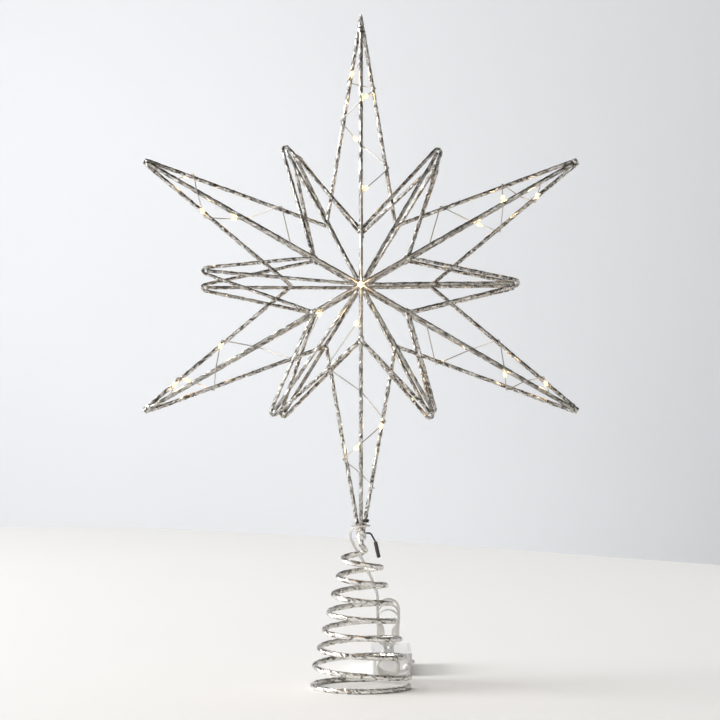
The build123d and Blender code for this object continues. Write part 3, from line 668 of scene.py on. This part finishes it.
def spline_points(points):
    """Points of the smooth line that a route's points control."""
    curve = bpy.data.curves.new("lead_line", "CURVE")
    curve.dimensions = "3D"
    curve.resolution_u = lead_curve_steps
    spline = curve.splines.new("NURBS")
    spline.points.add(len(points) - 1)
    for control, point in zip(spline.points, points):
        control.co = (*point, 1)
    spline.order_u = 3
    spline.use_endpoint_u = True
    holder = bpy.data.objects.new("lead_line", curve)
    bpy.context.scene.collection.objects.link(holder)
    bpy.context.view_layer.update()
    mesh = bpy.data.meshes.new_from_object(holder)
    line = np.array([vertex.co for vertex in mesh.vertices], float)
    bpy.data.objects.remove(holder)
    bpy.data.meshes.remove(mesh)
    bpy.data.curves.remove(curve)
    return line


def strand(line, offset, radius, sides=8):
    """A round strand beside a line, at an offset in the lead's flat direction."""
    firsts, seconds = carried_frames(line)
    angles = 2 * np.pi * np.arange(sides) / sides
    rings = []
    for index, middle in enumerate(line):
        circle = np.cos(angles)[:, None] * firsts[index] + np.sin(angles)[:, None] * seconds[index]
        rings.append(middle + firsts[index] * offset + radius * circle)
    return ring_mesh(rings)


def lead():
    """The clear twin lead with its conductors, one unbroken line."""
    line = spline_points(lead_route())
    quarter = lead_width / 4
    tubes = [strand(line, side * quarter, quarter) for side in (-1, 1)]
    cover = new_mesh("clear_lead", tubes, clear_plastic, True)
    wires = [strand(line, side * quarter, conductor_r, thin_sides) for side in (-1, 1)]
    cores = new_mesh("lead_conductors", wires, conductor, True)
    for piece in (cover, cores):
        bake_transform(piece)
    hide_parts("lead_drop", "lead_hank", "lead_foot")


NODE_MATERIALS = {
    "hub_welds": weld,
    "lamp_beads": lamp_glow,
    "tail_wire": tail_plastic,
    "tail_cap": tail_plastic,
    "string_splice": clear_plastic,
    "hank_tie": white_plastic,
    "battery_case": frosted,
    "battery_cover": frosted,
    "battery_cells": cell_can,
    "cell_contacts": contact_metal,
    "circuit_board": board,
    "slide_switch": contact_metal,
    "switch_knob": knob_plastic,
    "lead_grommet": frosted,
}


case_edge_width = 0.25 * MM
case_edge_segments = 2


def finish_nodes():
    """Finishes of the CAD nodes that show as they are."""
    finishes = dict(NODE_MATERIALS)
    for name in LONG_POINTS:
        finishes[f"light_string_{name}"] = string_wire
    for name, material in finishes.items():
        nodes[name].data.materials.clear()
        nodes[name].data.materials.append(material)
    for name in ("battery_case", "battery_cover", "slide_switch", "switch_knob"):
        bevel = nodes[name].modifiers.new("soft_edges", "BEVEL")
        bevel.width = case_edge_width
        bevel.segments = case_edge_segments
        bevel.limit_method = "ANGLE"


# Studio in millimetres: table with its far edge, and wall, which stands further off at the left
TABLE_EDGE = [
    (-460.0, 1558.0),
    (-295.0, 1556.0),
    (-80.0, 1413.0),
    (130.0, 1218.0),
    (219.0, 1130.0),
    (373.0, 969.0),
]
table_near = -2600.0
table_half_width = 3500.0
wall_left_distance = 5100.0
wall_right_distance = 2500.0
wall_half_width = 6000.0
wall_foot_z = -3000.0
wall_top_z = 1900.0
stage_mottle = 0.985  # darkest share of a stage piece's colour

# Lamps' light: watts of the one at the hub, of those near it, and of the rest
hub_lamp_within = 8.0 * MM
hub_lamp_power = 0.07
near_lamp_within = 25.0 * MM
near_lamp_power = 0.045
lamp_power = 0.008
lamp_light_size = 3.0 * MM
lamp_light_colour = (1.0, 0.67, 0.32)
vertex_grid = 1e6  # steps in a metre, to find vertices that lie in one place


def stage_plane(name, corners, colour):
    """A flat piece of the studio."""
    material, tree, shader = new_material(f"{name}_finish")
    place = tree.nodes.new("ShaderNodeTexCoord").outputs["Object"]
    noise = add_node(tree, "ShaderNodeTexNoise", {"Scale": 1.3, "Detail": 2.0})
    tree.links.new(place, noise.inputs["Vector"])
    low = tuple(channel * stage_mottle for channel in colour)
    mottled = ramp(tree, noise.outputs["Fac"], [(0.35, low), (0.65, colour)])
    tree.links.new(mottled, shader.inputs["Base Color"])
    shader.inputs["Roughness"].default_value = 0.85
    shader.inputs["Specular IOR Level"].default_value = 0.1
    mesh = bpy.data.meshes.new(name)
    mesh.from_pydata([tuple(Vector(corner) * MM) for corner in corners], [], [tuple(range(len(corners)))])
    mesh.materials.append(material)
    made = bpy.data.objects.new(name, mesh)
    bpy.context.scene.collection.objects.link(made)


def studio():
    """Table and wall."""
    left_end = (-table_half_width, TABLE_EDGE[0][1])
    right_end = (table_half_width, TABLE_EDGE[-1][1] - table_half_width)
    edge = [left_end, *TABLE_EDGE, right_end]
    near = [(-table_half_width, table_near), (table_half_width, table_near)]
    stage_plane("table", [(x, y, 0) for x, y in near + edge[::-1]], (0.93, 0.925, 0.91))
    stage_plane(
        "wall",
        [
            (-wall_half_width, wall_left_distance, wall_foot_z),
            (wall_half_width, wall_right_distance, wall_foot_z),
            (wall_half_width, wall_right_distance, wall_top_z),
            (-wall_half_width, wall_left_distance, wall_top_z),
        ],
        (0.86, 0.875, 0.9),
    )


def area_light(name, place, target, size, power, glossy=True, spread=180):
    """A soft light that faces a point."""
    light = bpy.data.lights.new(name, "AREA")
    light.shape = "RECTANGLE"
    light.size, light.size_y = size
    light.energy = power
    light.spread = math.radians(spread)
    made = bpy.data.objects.new(name, light)
    made.location = place
    made.rotation_euler = (Vector(target) - Vector(place)).to_track_quat("-Z", "Y").to_euler()
    made.visible_glossy = glossy
    bpy.context.scene.collection.objects.link(made)


def lights():
    """A window at the left, a fill from above, two lights on the wall, a card in front, and the room."""
    world = bpy.data.worlds.new("room")
    bpy.context.scene.world = world
    world.use_nodes = True
    tree = world.node_tree
    background = tree.nodes["Background"]
    place = tree.nodes.new("ShaderNodeTexCoord").outputs["Generated"]
    height = tree.nodes.new("ShaderNodeSeparateXYZ")
    tree.links.new(place, height.inputs["Vector"])
    walls = ramp(
        tree,
        height.outputs["Z"],
        [(0.0, (0.66, 0.655, 0.645)), (0.2, (0.62, 0.62, 0.62)), (0.45, (0.09, 0.083, 0.075))],
    )
    paths = tree.nodes.new("ShaderNodeLightPath").outputs
    in_view = add_node(tree, "ShaderNodeMath", operation="ADD")
    seen = add_node(tree, "ShaderNodeMath", operation="ADD", use_clamp=True)
    tree.links.new(paths["Is Camera Ray"], in_view.inputs[0])
    tree.links.new(paths["Is Glossy Ray"], in_view.inputs[1])
    tree.links.new(in_view.outputs["Value"], seen.inputs[0])
    tree.links.new(paths["Is Transmission Ray"], seen.inputs[1])
    mix = add_node(tree, "ShaderNodeMix", {"A": (0.1, 0.097, 0.093, 1)}, data_type="RGBA")
    tree.links.new(seen.outputs["Value"], mix.inputs["Factor"])
    tree.links.new(walls, mix.inputs["B"])
    tree.links.new(mix.outputs["Result"], background.inputs["Color"])
    background.inputs["Strength"].default_value = 1.0
    area_light(
        "window",
        place=(-3.6, -0.1, 1.25),
        target=(0, 0.1, 0.2),
        size=(2.4, 2.4),
        power=172,
    )
    area_light(
        "fill_above",
        place=(-0.7, 0.6, 2.3),
        target=(0, 0.6, 0),
        size=(3.0, 3.0),
        power=43,
        glossy=False,
    )
    area_light(
        "wall_light",
        place=(-1.4, 1.7, 0.75),
        target=(-0.9, 3.9, 0.1),
        size=(1.2, 1.2),
        power=10.5,
        glossy=False,
        spread=120,
    )
    area_light(
        "wall_foot",
        place=(0.05, 3.05, -0.3),
        target=(0.05, 3.75, -0.1),
        size=(0.5, 0.15),
        power=0.75,
        glossy=False,
    )
    area_light(
        "front_card",
        place=(0.3, -3.4, 0.5),
        target=(0, 0, 0.25),
        size=(5.0, 3.0),
        power=25,
    )


def camera():
    """The camera at the photograph's angle, level and straight ahead."""
    data = bpy.data.cameras.new("camera")
    data.lens = camera_lens
    data.sensor_width = camera_sensor
    data.clip_end = camera_far
    made = bpy.data.objects.new("camera", data)
    made.location = camera_place
    made.rotation_euler = (math.pi / 2, 0, 0)
    bpy.context.scene.collection.objects.link(made)
    bpy.context.scene.camera = made


def lamp_lights():
    """A small warm light at each lamp, so that the wires beside it are lit."""
    for index, middle in enumerate(loose_middles(nodes["lamp_beads"].data)):
        light = bpy.data.lights.new(f"lamp_light_{index}", "POINT")
        from_hub = (middle - hub("front")).length
        if from_hub < hub_lamp_within:
            light.energy = hub_lamp_power
        elif from_hub < near_lamp_within:
            light.energy = near_lamp_power
        else:
            light.energy = lamp_power
        light.color = lamp_light_colour
        light.shadow_soft_size = lamp_light_size
        made = bpy.data.objects.new(f"lamp_light_{index}", light)
        made.location = middle
        made.visible_camera = False
        bpy.context.scene.collection.objects.link(made)
        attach(made, "star")


def loose_middles(mesh):
    """Middles of a mesh's separate solids."""
    parent = list(range(len(mesh.vertices)))

    def root(index):
        while parent[index] != index:
            parent[index] = parent[parent[index]]
            index = parent[index]
        return index

    keys = {}
    for index, vertex in enumerate(mesh.vertices):
        key = tuple(round(value * vertex_grid) for value in vertex.co)
        parent[index] = keys.setdefault(key, index)
    for edge in mesh.edges:
        parent[root(edge.vertices[0])] = root(edge.vertices[1])
    found = {}
    for index, vertex in enumerate(mesh.vertices):
        found.setdefault(root(index), []).append(vertex.co)
    return [sum(places, Vector()) / len(places) for places in found.values()]


camera()
lead()
star_wires()
star_bindings()
tail_knot()
coil()
finish_nodes()
lamp_lights()
studio()
lights()

bpy.context.scene.view_settings.view_transform = "Standard"
